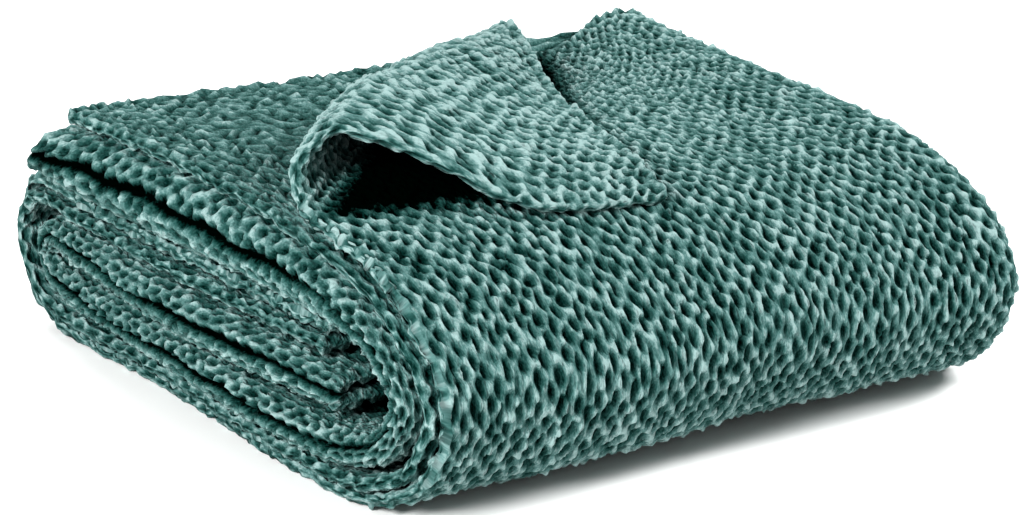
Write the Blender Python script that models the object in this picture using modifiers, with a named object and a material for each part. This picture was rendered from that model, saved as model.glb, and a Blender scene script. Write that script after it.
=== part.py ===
"""Folded honeycomb throw: one length of thick cotton, halved twice across its width and then
folded in three, with the upper corner of its top layer turned back.

Metres, +Z up. X runs along the folded stack from the open end (-X) to the end that shows only
folds (+X), and +Y points to the back. The origin is on the surface that the throw rests on,
under the middle of the stack.
"""
import math

import bmesh
import bpy
import numpy as np
from mathutils import Vector

MM = 0.001

CLOTH_THICKNESS = 7 * MM

# The cloth's width, run by run from the top ply's cut edge: ply 4, the outer far fold, ply 1, the
# near fold, ply 2, the inner far fold and ply 3.
CLOTH_WIDTH = 1700 * MM
OUTER_FOLD_CLOTH = 62 * MM
NEAR_FOLD_CLOTH = 30 * MM
INNER_FOLD_CLOTH = 22 * MM
PLY_CLOTH = (CLOTH_WIDTH - OUTER_FOLD_CLOTH - NEAR_FOLD_CLOTH - INNER_FOLD_CLOTH) / 4

# The folded stack along X.
FAR_FOLD_REACH = 21 * MM
FAR_INNER_REACH = 7 * MM
FAR_INNER_SETBACK = 4 * MM
NEAR_FOLD_REACH_LEAST = 5 * MM
NEAR_FOLD_REACH_MOST = 12 * MM
STACK_LENGTH = PLY_CLOTH + CLOTH_THICKNESS + FAR_FOLD_REACH

# Divisions of the cloth's grid.
PLY_STEPS = 7
OUTER_FOLD_STEPS = 6
NEAR_FOLD_STEPS = 5
INNER_FOLD_STEPS = 4
SAMPLES_PER_ROW = 40
CLOSEST_POINTS = 3.2 * MM
CUT_SNAP = 0.01 * MM
JOIN_SLACK = 1e-6 * MM

# The pair of plies that touches the surface, and the height of its middle there.
FLOOR_SPACING = 9.5
FLOOR_PAIR = CLOTH_THICKNESS / MM / 2 + FLOOR_SPACING / 2

# How the two pairs of plies run through the folded section, seen from the open end, in mm.
# A pair is given by the line midway between its plies. The outer pair has two cut edges at the
# open end, edge_4 and edge_3 back from it, and the inner pair is joined there by a fold.
SECTION_COLUMNS = ("outer_y", "outer_z", "outer_gap", "inner_y", "inner_z", "inner_gap",
                   "edge_4", "edge_3", "steps")
SECTION = {
    "back hem": (131, 145, 10.0, 155, 114, 27, 9, 5, 2),
    "top back": (74, 146, 10.0, 85, 115.5, 31, 9, 5, 3),
    "top middle": (-28, 147, 10.0, -28, 115.5, 31, 9, 5, 3),
    "top front": (-125, 143, 10.0, -122, 113, 25, 10, 5, 3),
    "brow": (-197, 117, 10.5, -183, 100, 11, 12, 6, 2),
    "belly": (-225, 73, 10.5, -205, 71, 9.5, 13, 7, 2),
    "foot": (-201, 24, 10.0, -182, 40, 10.5, 12, 6, 2),
    "bottom front": (-142, FLOOR_PAIR, FLOOR_SPACING, -140, 32, 14, 9, 5, 3),
    "bottom middle": (0, FLOOR_PAIR, FLOOR_SPACING, 0, 32.5, 15, 8, 4, 3),
    "bottom back": (135, FLOOR_PAIR, FLOOR_SPACING, 110, 33, 14, 8, 4, 2),
    "heel": (188, 21, 9.5, 145, 37, 11, 10, 5, 2),
    "back bend": (211, 53, 9.5, 162, 52, 10, 12, 6, 2),
    "shoulder": (184, 82, 9.5, 145, 65, 11, 10, 5, 2),
    "middle back": (125, 86.5, 9.5, 108, 62, 15, 8, 4, 3),
    "middle": (0, 86, 9.5, -9, 60, 18, 8, 4, 3),
    "front end": (-130, 84.5, 9.5, -152, 61, 12, 8, 4, 0),
}

# How far the back hems of three plies lie past their pair's line, and the length of cloth over
# which that fades out. The top ply's hem is drawn forward where its corner is turned back.
HEM_REACH = {1: 24 * MM, 2: -14 * MM, 4: -50 * MM}
HEM_REACH_RUN = {1: 110 * MM, 2: 110 * MM, 4: 210 * MM}

# The corner of the top ply that is turned back: the roll leaves the open end this far along the
# cloth from the back hem, and leaves the hem this far along it from the open end.
ROLL_ALONG_EDGE = 267 * MM
ROLL_ALONG_HEM = 298 * MM
ROLL_RADIUS_EDGE = 18 * MM
ROLL_RADIUS_HEM = 17 * MM
ROLL_STEPS = 6
FLAP_REST = CLOTH_THICKNESS + 3 * MM
FLAP_SAG_EDGE = 38 * MM
FLAP_SAG_HEM = 50 * MM
FLAP_STRETCH = 1.1
FLAP_SLIDE = 0.4
FLAP_DROOP = 72 * MM
FLAP_DROOP_RUN = 150 * MM
FLAP_CUTS = (22 * MM, 50 * MM, 85 * MM)

# How uneven the stack is: it is lower towards the far end and tilts there, its upright corners
# are drawn in, its top and long faces wave and its ends bow. Each wave has a size, how fast it
# turns in radians, and where it starts.
FAR_HEIGHT = 0.87
FAR_TILT = 0.10
FRONT_CORNER_PULL = 7 * MM
FRONT_CORNER_START = 0.72
FRONT_CORNER_NEAR_SHARE = 0.3
BACK_CORNER_PULL = 4 * MM
BACK_CORNER_END = 0.2
CORNER_RUN = 0.3
TOP_WAVE = 0.018
TOP_WAVE_ALONG, TOP_WAVE_ALONG_START = 7.3, 2.1
TOP_WAVE_ACROSS, TOP_WAVE_ACROSS_START = 5.1, 0.6
FACE_WAVE = 3.0 * MM
FACE_WAVE_ALONG, FACE_WAVE_ALONG_START = 11.0, 0.8
FACE_WAVE_UP, FACE_WAVE_UP_START = 24.0, 0.5
END_WAVE = 4.0 * MM
END_WAVE_ACROSS, END_WAVE_UP, END_WAVE_START = 7.0, 40.0, -1.2

# Brings the middle of the throw's box over the origin.
CENTRE_SHIFT_X = -0.25 * MM
CENTRE_SHIFT_Y = 7.0 * MM

CLOTH_COLOUR = (0.127, 0.266, 0.238, 1.0)
CLOTH_ROUGHNESS = 0.92


def clear_scene():
    """Removes the objects that the scene starts with."""
    for old in list(bpy.data.objects):
        bpy.data.objects.remove(old, do_unlink=True)


def smooth_step(value):
    """Rises evenly from 0 to 1 with flat ends."""
    held = np.clip(value, 0.0, 1.0)
    return held * held * (3.0 - 2.0 * held)


def row_slopes(values):
    """Slopes at the rows of a column such that the curve between rows never overshoots them."""
    step = np.diff(values)
    slopes = np.zeros(len(values))
    same = step[1:] * step[:-1] > 0
    slopes[1:-1][same] = 2 * step[1:][same] * step[:-1][same] / (step[1:] + step[:-1])[same]
    slopes[0] = step[0]
    slopes[-1] = step[-1]
    return slopes


def column_curve(values, places):
    """Reads a column between its rows, on a cubic through them, at fractional row numbers."""
    slopes = row_slopes(values)
    row = np.clip(places.astype(int), 0, len(values) - 2)
    part = places - row
    left = (1 + 2 * part) * (1 - part) ** 2 * values[row]
    right = part ** 2 * (3 - 2 * part) * values[row + 1]
    bend = part * (1 - part) ** 2 * slopes[row] - part ** 2 * (1 - part) * slopes[row + 1]
    return left + right + bend


def outward(y, z):
    """Unit normals of a section line, pointing to the outside of the coil of layers."""
    dy = np.gradient(y)
    dz = np.gradient(z)
    size = np.hypot(dy, dz)
    return dz / size, -dy / size


class Section:
    """The folded section: where each of the four plies runs, by length along the cloth."""

    def __init__(self):
        rows = np.array(list(SECTION.values()), dtype=float)
        column = {name: rows[:, place] for place, name in enumerate(SECTION_COLUMNS)}
        places = np.linspace(0, len(rows) - 1, (len(rows) - 1) * SAMPLES_PER_ROW + 1)
        read = {name: column_curve(values, places) * MM for name, values in column.items()}
        self.plies = {}
        for pair, upper, lower in (("outer", 4, 3), ("inner", 2, 1)):
            y = read[pair + "_y"]
            z = read[pair + "_z"]
            across_y, across_z = outward(y, z)
            half = read[pair + "_gap"] / 2
            self.plies[upper] = (y + across_y * half, z + across_z * half)
            self.plies[lower] = (y - across_y * half, z - across_z * half)
        self.lift = outward(read["outer_y"], read["outer_z"])
        self.edges = {4: read["edge_4"], 3: read["edge_3"]}
        middle_y = (read["outer_y"] + read["inner_y"]) / 2
        middle_z = (read["outer_z"] + read["inner_z"]) / 2
        run = np.hypot(np.diff(middle_y), np.diff(middle_z))
        length = np.concatenate(([0.0], np.cumsum(run)))
        self.along = length
        stations = []
        for row, steps in enumerate(column["steps"].astype(int)):
            stations.extend(row + step / steps for step in range(steps))
        stations.append(len(rows) - 1)
        self.stations = np.interp(stations, places, self.along)

    def ply(self, number, along):
        """Y and Z of one ply at lengths along the cloth."""
        y, z = self.plies[number]
        return np.interp(along, self.along, y), np.interp(along, self.along, z)


def width_stations():
    """Places of the grid's lines across the flat cloth, from the top ply's cut edge."""
    runs = ((PLY_CLOTH, PLY_STEPS), (OUTER_FOLD_CLOTH, OUTER_FOLD_STEPS), (PLY_CLOTH, PLY_STEPS),
            (NEAR_FOLD_CLOTH, NEAR_FOLD_STEPS), (PLY_CLOTH, PLY_STEPS),
            (INNER_FOLD_CLOTH, INNER_FOLD_STEPS), (PLY_CLOTH, PLY_STEPS))
    places = [0.0]
    for length, steps in runs:
        start = places[-1]
        places.extend(start + length * step / steps for step in range(1, steps + 1))
    return np.array(places)


def roll_line():
    """A point on the corner's roll line, and the unit direction from it towards the corner."""
    size = math.hypot(ROLL_ALONG_EDGE, ROLL_ALONG_HEM)
    return (0.0, ROLL_ALONG_EDGE), (-ROLL_ALONG_EDGE / size, -ROLL_ALONG_HEM / size)


def turn_back(across, along):
    """Rolls the top ply's corner over its line: new places on the cloth and heights over it."""
    (start_u, start_v), (to_u, to_v) = roll_line()
    beyond = (across - start_u) * to_u + (along - start_v) * to_v
    beyond = np.where(across < PLY_CLOTH, np.maximum(beyond, 0.0), 0.0)
    part = np.clip((across - beyond * to_u) / ROLL_ALONG_HEM, 0.0, 1.0)
    radius = ROLL_RADIUS_EDGE + (ROLL_RADIUS_HEM - ROLL_RADIUS_EDGE) * part
    turn = np.minimum(beyond / radius, math.pi)
    past = np.maximum(beyond - math.pi * radius, 0.0)
    shift = radius * np.sin(turn) - FLAP_STRETCH * past - beyond
    slide = FLAP_SLIDE * past
    droop = FLAP_DROOP * np.sin(math.pi * np.minimum(past / FLAP_DROOP_RUN, 1.0)) * (1 - part) ** 2
    sag = FLAP_SAG_EDGE + (FLAP_SAG_HEM - FLAP_SAG_EDGE) * part
    rest = FLAP_REST + (2 * radius - FLAP_REST) * np.exp(-(past / sag) ** 2)
    height = np.where(past > 0, rest, radius * (1 - np.cos(turn)))
    return across + shift * to_u + slide * to_v, along + shift * to_v - slide * to_u + droop, height


def hem_reach(number, across, along):
    """How far a ply is moved to the back near its hem, on the top ply less towards the far end."""
    reach = HEM_REACH.get(number, 0.0)
    fade = 1 - smooth_step(along / HEM_REACH_RUN.get(number, 1.0))
    if number == 4:
        fade = fade * smooth_step((PLY_CLOTH - across) / (PLY_CLOTH - ROLL_ALONG_HEM))
    return reach * fade


def fold(section, across, along):
    """Places flat cloth points in the folded stack: each run of the width is a ply or a fold."""
    across, along, height = turn_back(across, along)
    near = -STACK_LENGTH / 2 + CLOTH_THICKNESS / 2
    far = STACK_LENGTH / 2 - CLOTH_THICKNESS / 2 - FAR_FOLD_REACH
    ply = {}
    for number in (1, 2, 3, 4):
        y, z = section.ply(number, along)
        ply[number] = (y + hem_reach(number, across, along), z)
    half_near = np.hypot(ply[2][0] - ply[1][0], ply[2][1] - ply[1][1]) / 2
    near_reach = np.clip(half_near, NEAR_FOLD_REACH_LEAST, NEAR_FOLD_REACH_MOST)
    starts = {number: near + np.interp(along, section.along, section.edges[number])
              for number in (3, 4)}
    starts[1] = near + near_reach
    starts[2] = starts[1]
    inner_far = far - FAR_INNER_SETBACK
    runs = (
        ("ply", PLY_CLOTH, 4, starts[4], far),
        ("fold", OUTER_FOLD_CLOTH, (4, 1), far, FAR_FOLD_REACH),
        ("ply", PLY_CLOTH, 1, far, starts[1]),
        ("fold", NEAR_FOLD_CLOTH, (1, 2), starts[1], -near_reach),
        ("ply", PLY_CLOTH, 2, starts[2], inner_far),
        ("fold", INNER_FOLD_CLOTH, (2, 3), inner_far, FAR_INNER_REACH),
        ("ply", PLY_CLOTH, 3, inner_far, starts[3]),
    )
    x = np.zeros(len(across))
    y = np.zeros(len(across))
    z = np.zeros(len(across))
    begin = 0.0
    for kind, length, which, first, second in runs:
        part = np.clip((across - begin) / length, 0.0, 1.0)
        inside = across >= begin - JOIN_SLACK
        if kind == "ply":
            place = (first + (second - first) * part, ply[which][0], ply[which][1])
        else:
            turn = math.pi * part
            mix = (1 - np.cos(turn)) / 2
            away, back = ply[which[0]], ply[which[1]]
            place = (first + second * np.sin(turn),
                     away[0] + (back[0] - away[0]) * mix, away[1] + (back[1] - away[1]) * mix)
        x = np.where(inside, place[0], x)
        y = np.where(inside, place[1], y)
        z = np.where(inside, place[2], z)
        begin += length
    lift_y = np.interp(along, section.along, section.lift[0])
    lift_z = np.interp(along, section.along, section.lift[1])
    return x, y + lift_y * height, z + lift_z * height


def settle(x, y, z):
    """Makes the stack as uneven as it lies, and leaves its underside flat."""
    along = x / STACK_LENGTH + 0.5
    front = np.clip(-y / STACK_LENGTH + 0.5, 0.0, 1.0)
    floor = CLOTH_THICKNESS / 2
    height = 1 - (1 - FAR_HEIGHT) * smooth_step(along) + FAR_TILT * along * (0.5 - front)
    height = height * (1 + TOP_WAVE * np.sin(TOP_WAVE_ALONG * along + TOP_WAVE_ALONG_START)
                       * np.sin(TOP_WAVE_ACROSS * front + TOP_WAVE_ACROSS_START))
    raised = floor + (z - floor) * height
    pull = FRONT_CORNER_PULL * (FRONT_CORNER_NEAR_SHARE + along)
    pull = pull * smooth_step((front - FRONT_CORNER_START) / CORNER_RUN)
    pull = pull + BACK_CORNER_PULL * smooth_step((BACK_CORNER_END - front) / CORNER_RUN)
    bow = END_WAVE * np.sin(END_WAVE_ACROSS * front + END_WAVE_UP * z + END_WAVE_START)
    moved_x = x * (1 - 2 * pull / STACK_LENGTH) + bow * np.clip(1 - 2 * along, -1, 1)
    wave = FACE_WAVE * np.sin(FACE_WAVE_ALONG * along + FACE_WAVE_ALONG_START)
    wave = wave * np.sin(FACE_WAVE_UP * z + FACE_WAVE_UP_START)
    return moved_x + CENTRE_SHIFT_X, y + wave + CENTRE_SHIFT_Y, raised


def cut_roll_lines(mesh, first_ply):
    """Cuts the flat cloth along the lines where the corner starts, rolls over and lies down.

    Each line crosses the roll line's two ends at a share of the roll's half turn there, so the
    lines fan out as the roll widens towards the open end.
    """
    (start_u, start_v), (to_u, to_v) = roll_line()
    end_u, end_v = ROLL_ALONG_HEM, 0.0
    turns = [(math.pi * step / ROLL_STEPS, 0.0) for step in range(ROLL_STEPS + 1)]
    turns.extend((math.pi, past) for past in FLAP_CUTS)
    for turn, past in turns:
        near = turn * ROLL_RADIUS_EDGE + past
        hem = turn * ROLL_RADIUS_HEM + past
        first = Vector((start_u + near * to_u, start_v + near * to_v, 0.0))
        last = Vector((end_u + hem * to_u, end_v + hem * to_v, 0.0))
        across = (last - first).cross(Vector((0.0, 0.0, 1.0))).normalized()
        faces = [face for face in mesh.faces if face.calc_center_median().x < first_ply]
        edges = {edge for face in faces for edge in face.edges}
        verts = {vert for face in faces for vert in face.verts}
        bmesh.ops.bisect_plane(mesh, geom=faces + list(edges) + list(verts), dist=CUT_SNAP,
                               plane_co=first, plane_no=across)


def flat_cloth(section):
    """The cloth as one flat grid, at the lengths it takes in the stack, with the corner's cuts."""
    widths = width_stations()
    lengths = section.stations
    across_cells = len(widths) - 1
    along_cells = len(lengths) - 1
    mesh = bmesh.new()
    bmesh.ops.create_grid(mesh, x_segments=across_cells, y_segments=along_cells, size=0.5)
    for vert in mesh.verts:
        vert.co.x = widths[round((vert.co.x + 0.5) * across_cells)]
        vert.co.y = lengths[round((vert.co.y + 0.5) * along_cells)]
    cut_roll_lines(mesh, PLY_CLOTH)
    bmesh.ops.remove_doubles(mesh, verts=mesh.verts[:], dist=CLOSEST_POINTS)
    bmesh.ops.triangulate(mesh, faces=mesh.faces[:])
    return mesh


def cloth_material():
    """Crinkled cotton, dyed sea green."""
    material = bpy.data.materials.new("dyed cotton")
    material.use_nodes = True
    shader = material.node_tree.nodes["Principled BSDF"]
    shader.inputs["Base Color"].default_value = CLOTH_COLOUR
    shader.inputs["Roughness"].default_value = CLOTH_ROUGHNESS
    shader.inputs["Metallic"].default_value = 0.0
    return material


def build_throw(collection):
    """The whole throw: a flat grid folded as a surface and given the cloth's thickness."""
    section = Section()
    grid = flat_cloth(section)
    flat = np.array([vert.co[:] for vert in grid.verts])
    folded = np.column_stack(settle(*fold(section, flat[:, 0], flat[:, 1])))
    for vert, place in zip(grid.verts, folded):
        vert.co = place
    bmesh.ops.recalc_face_normals(grid, faces=grid.faces[:])
    mesh = bpy.data.meshes.new("throw_cloth")
    grid.to_mesh(mesh)
    grid.free()
    mesh.materials.append(cloth_material())
    throw = bpy.data.objects.new("throw_cloth", mesh)
    collection.objects.link(throw)
    thickness = throw.modifiers.new("cloth thickness", "SOLIDIFY")
    thickness.thickness = CLOTH_THICKNESS
    thickness.offset = 0.0
    return throw


def main():
    clear_scene()
    collection = bpy.data.collections.new("folded_throw")
    bpy.context.scene.collection.children.link(collection)
    build_throw(collection)


main()
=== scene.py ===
"""Folded honeycomb throw, dressed: one length of thick crinkled cotton with deep woven cells, laid
along the folds of its solid.

Metres, +Z up. X runs along the folded stack from the open end (-X) to the end that shows only
folds (+X), and +Y points to the back. Places on the flat cloth are given as across, from the top
layer's cut edge over the 1.7 m of its width, and along, from the back hem of the top layer.
"""

import logging
import math
from dataclasses import dataclass
from enum import Enum

import bpy
import numpy as np
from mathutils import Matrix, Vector

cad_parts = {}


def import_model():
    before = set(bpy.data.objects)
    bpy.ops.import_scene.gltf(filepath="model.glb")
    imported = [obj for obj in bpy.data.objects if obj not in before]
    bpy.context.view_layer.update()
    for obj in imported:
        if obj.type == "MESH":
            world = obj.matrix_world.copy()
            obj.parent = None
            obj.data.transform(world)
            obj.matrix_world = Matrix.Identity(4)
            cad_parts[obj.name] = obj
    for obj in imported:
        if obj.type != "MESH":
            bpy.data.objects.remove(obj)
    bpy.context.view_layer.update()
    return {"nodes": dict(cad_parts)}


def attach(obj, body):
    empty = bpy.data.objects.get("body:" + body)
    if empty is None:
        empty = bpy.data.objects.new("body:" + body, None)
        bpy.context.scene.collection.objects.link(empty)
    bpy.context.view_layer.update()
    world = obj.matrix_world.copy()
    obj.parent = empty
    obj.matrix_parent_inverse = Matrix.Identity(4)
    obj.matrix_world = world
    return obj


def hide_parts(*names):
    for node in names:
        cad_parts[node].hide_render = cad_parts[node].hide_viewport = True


MM = 0.001
LOG = logging.getLogger("throw")
Grid = np.ndarray

FLOOR_SPACING = 9.5
FLOOR_PAIR = 3.5 + FLOOR_SPACING / 2

SECTION_COLUMNS = ("outer_y", "outer_z", "outer_gap", "inner_y", "inner_z", "inner_gap",
                   "edge_4", "edge_3")
SECTION = {
    "back hem": (131, 145, 10.0, 155, 114, 27, 9, 5),
    "top back": (74, 146, 10.0, 85, 115.5, 31, 9, 5),
    "top middle": (-28, 147, 10.0, -28, 115.5, 31, 9, 5),
    "top front": (-125, 143, 10.0, -122, 113, 25, 10, 5),
    "brow": (-197, 117, 10.5, -183, 100, 11, 12, 6),
    "belly": (-225, 73, 10.5, -205, 71, 9.5, 13, 7),
    "foot": (-201, 24, 10.0, -182, 40, 10.5, 12, 6),
    "bottom front": (-142, FLOOR_PAIR, FLOOR_SPACING, -140, 32, 14, 9, 5),
    "bottom middle": (0, FLOOR_PAIR, FLOOR_SPACING, 0, 32.5, 15, 8, 4),
    "bottom back": (135, FLOOR_PAIR, FLOOR_SPACING, 110, 33, 14, 8, 4),
    "heel": (188, 21, 9.5, 145, 37, 11, 10, 5),
    "back bend": (211, 53, 9.5, 162, 52, 10, 12, 6),
    "shoulder": (184, 82, 9.5, 145, 65, 11, 10, 5),
    "middle back": (125, 86.5, 9.5, 108, 62, 15, 8, 4),
    "middle": (0, 86, 9.5, -9, 60, 18, 8, 4),
    "front end": (-130, 84.5, 9.5, -152, 61, 12, 8, 4),
}

# How far each ply is moved to the back at its hem, and over which length that fades, in mm.
HEM_REACHES = {1: (24, 110), 2: (-14, 110), 4: (-50, 210)}


def smooth_step(value: Grid) -> Grid:
    """Rises evenly from 0 to 1 with flat ends: 3 t squared less 2 t cubed, held to 0..1."""
    held = np.clip(value, 0.0, 1.0)
    return held * held * (3.0 - 2.0 * held)


def linear_colour(hex_code: str) -> tuple[float, float, float, float]:
    """Turns an sRGB hex colour into linear red, green and blue with full alpha.

    Args:
        hex_code: Six hex digits, such as "638d85".

    Returns:
        The linear colour.
    """
    parts = [int(hex_code[place:place + 2], 16) / 255 for place in (0, 2, 4)]
    linear = [part / 12.92 if part <= 0.04045 else ((part + 0.055) / 1.055) ** 2.4
              for part in parts]
    return (*linear, 1.0)


@dataclass(frozen=True)
class Sine:
    """The rate and the start of a wave."""

    rate: float
    start: float = 0.0

    def read(self, place: Grid, more: Grid | float = 0.0) -> Grid:
        """Heights of the wave from -1 to 1, with what another direction adds to its angle."""
        return np.sin(self.rate * place + more + self.start)


@dataclass
class FoldedStack:
    """Where each point of the flat cloth lies in the folded stack, by the folds of its solid."""

    solid_thickness: float = 7 * MM
    width: float = 1700 * MM
    outer_fold: float = 62 * MM
    near_fold: float = 30 * MM
    inner_fold: float = 22 * MM
    far_fold_reach: float = 21 * MM
    far_inner_reach: float = 7 * MM
    far_inner_setback: float = 4 * MM
    near_reach_least: float = 5 * MM
    near_reach_most: float = 12 * MM
    roll_along_edge: float = 267 * MM
    roll_along_hem: float = 298 * MM
    roll_radius_edge: float = 18 * MM
    roll_radius_hem: float = 17 * MM
    flap_sag_edge: float = 38 * MM
    flap_sag_hem: float = 50 * MM
    flap_rest: float = 10 * MM
    flap_stretch: float = 1.1
    flap_slide: float = 0.4
    flap_droop: float = 72 * MM
    flap_droop_run: float = 150 * MM
    far_height: float = 0.87
    far_tilt: float = 0.10
    front_corner_pull: float = 7 * MM
    back_corner_pull: float = 4 * MM
    front_corner_least: float = 0.3
    front_corner_start: float = 0.72
    back_corner_end: float = 0.2
    corner_run: float = 0.3
    top_wave: float = 0.018
    top_wave_along: Sine = Sine(7.3, 2.1)
    top_wave_front: Sine = Sine(5.1, 0.6)
    face_wave: float = 3 * MM
    face_wave_along: Sine = Sine(11.0, 0.8)
    face_wave_up: Sine = Sine(24.0, 0.5)
    end_wave: float = 4 * MM
    end_wave_front: Sine = Sine(7.0, -1.2)
    end_wave_up: float = 40.0
    centre_shift_x: float = -0.25 * MM
    centre_shift_y: float = 7 * MM
    samples_per_row: int = 40

    def __post_init__(self) -> None:
        """Works out the lengths that follow from the sizes, and the four plies' section lines."""
        folds = self.outer_fold + self.near_fold + self.inner_fold
        self.ply = (self.width - folds) / 4
        self.stack = self.ply + self.solid_thickness + self.far_fold_reach
        self.near_start = 2 * self.ply + self.outer_fold
        self.inner_start = self.near_start + self.near_fold + self.ply
        rows = np.array(list(SECTION.values()), dtype=float)
        places = np.linspace(0, len(rows) - 1, (len(rows) - 1) * self.samples_per_row + 1)
        read = {name: self.column_curve(rows[:, at], places) * MM
                for at, name in enumerate(SECTION_COLUMNS)}
        self.lines = {}
        for pair, upper, lower in (("outer", 4, 3), ("inner", 2, 1)):
            y, z = read[pair + "_y"], read[pair + "_z"]
            across_y, across_z = self.outward(y, z)
            half = read[pair + "_gap"] / 2
            self.lines[upper] = (y + across_y * half, z + across_z * half)
            self.lines[lower] = (y - across_y * half, z - across_z * half)
        self.lift = self.outward(read["outer_y"], read["outer_z"])
        self.edges = {4: read["edge_4"], 3: read["edge_3"]}
        middle_y = (read["outer_y"] + read["inner_y"]) / 2
        middle_z = (read["outer_z"] + read["inner_z"]) / 2
        run = np.hypot(np.diff(middle_y), np.diff(middle_z))
        self.marks = np.concatenate(([0.0], np.cumsum(run)))
        self.length = float(self.marks[-1])

    @staticmethod
    def column_curve(values: Grid, places: Grid) -> Grid:
        """Reads a table column between its rows, on a cubic that never overshoots them.

        The slope at a row is the harmonic mean of the steps on both sides, or 0 at a turn.

        Args:
            values: The column, one value a row.
            places: Fractional row numbers.

        Returns:
            The column's values there.
        """
        step = np.diff(values)
        slopes = np.zeros(len(values))
        same = step[1:] * step[:-1] > 0
        slopes[1:-1][same] = 2 * step[1:][same] * step[:-1][same] / (step[1:] + step[:-1])[same]
        slopes[0], slopes[-1] = step[0], step[-1]
        row = np.clip(places.astype(int), 0, len(values) - 2)
        part = places - row
        left = (1 + 2 * part) * (1 - part) ** 2 * values[row]
        right = part ** 2 * (3 - 2 * part) * values[row + 1]
        bend = part * (1 - part) ** 2 * slopes[row] - part ** 2 * (1 - part) * slopes[row + 1]
        return left + right + bend

    @staticmethod
    def outward(y: Grid, z: Grid) -> tuple[Grid, Grid]:
        """Unit normals of a section line, its tangent turned a quarter to the coil's outside.

        Args:
            y: The line's Y values in order.
            z: The line's Z values in order.

        Returns:
            The normals' Y and Z parts.
        """
        dy, dz = np.gradient(y), np.gradient(z)
        size = np.hypot(dy, dz)
        return dz / size, -dy / size

    def turn_back(self, across: Grid, along: Grid) -> tuple[Grid, ...]:
        """Rolls the top ply's corner over its line: half a turn, then down to lie on the stack.

        Args:
            across, along: Places on the flat cloth.

        Returns:
            The places across and along that the points lie over, and their height there.
        """
        size = math.hypot(self.roll_along_edge, self.roll_along_hem)
        to_u, to_v = -self.roll_along_edge / size, -self.roll_along_hem / size
        beyond = across * to_u + (along - self.roll_along_edge) * to_v
        beyond = np.where(across < self.ply, np.maximum(beyond, 0.0), 0.0)
        part = np.clip((across - beyond * to_u) / self.roll_along_hem, 0.0, 1.0)
        radius = self.roll_radius_edge + (self.roll_radius_hem - self.roll_radius_edge) * part
        turn = np.minimum(beyond / radius, math.pi)
        past = np.maximum(beyond - math.pi * radius, 0.0)
        shift = radius * np.sin(turn) - self.flap_stretch * past - beyond
        slide = self.flap_slide * past
        droop = np.sin(math.pi * np.minimum(past / self.flap_droop_run, 1.0))
        droop = self.flap_droop * droop * (1 - part) ** 2
        sag = self.flap_sag_edge + (self.flap_sag_hem - self.flap_sag_edge) * part
        rest = self.flap_rest + (2 * radius - self.flap_rest) * np.exp(-(past / sag) ** 2)
        height = np.where(past > 0, rest, radius * (1 - np.cos(turn)))
        return (across + shift * to_u + slide * to_v,
                along + shift * to_v - slide * to_u + droop, height)

    def hem_reach(self, number: int, across: Grid, along: Grid) -> Grid:
        """How far a ply is moved to the back near its hem.

        Args:
            number: The ply, 4 on top.
            across, along: Places on the flat cloth.

        Returns:
            The moves along Y.
        """
        reach, run = HEM_REACHES.get(number, (0, 1))
        fade = 1 - smooth_step(along / (run * MM))
        if number == 4:
            fade = fade * smooth_step((self.ply - across) / (self.ply - self.roll_along_hem))
        return reach * MM * fade

    def settle(self, x: Grid, y: Grid, z: Grid) -> Grid:
        """Makes the stack as uneven as it lies: lower at the far end, with bowed ends and faces.

        Args:
            x: Even places along the stack.
            y: Even places across it.
            z: Even heights.

        Returns:
            The uneven places, with X, Y and Z last.
        """
        along = x / self.stack + 0.5
        front = np.clip(-y / self.stack + 0.5, 0.0, 1.0)
        floor = self.solid_thickness / 2
        height = 1 - (1 - self.far_height) * smooth_step(along)
        height = height + self.far_tilt * along * (0.5 - front)
        height = height * (1 + self.top_wave * self.top_wave_along.read(along)
                           * self.top_wave_front.read(front))
        pull = self.front_corner_pull * (self.front_corner_least + along) * smooth_step(
            (front - self.front_corner_start) / self.corner_run)
        pull = pull + self.back_corner_pull * smooth_step(
            (self.back_corner_end - front) / self.corner_run)
        bow = self.end_wave * self.end_wave_front.read(front, self.end_wave_up * z)
        moved_x = x * (1 - 2 * pull / self.stack) + bow * np.clip(1 - 2 * along, -1, 1)
        wave = self.face_wave * self.face_wave_along.read(along) * self.face_wave_up.read(z)
        return np.stack((moved_x + self.centre_shift_x, y + wave + self.centre_shift_y,
                         floor + (z - floor) * height), axis=-1)

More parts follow.
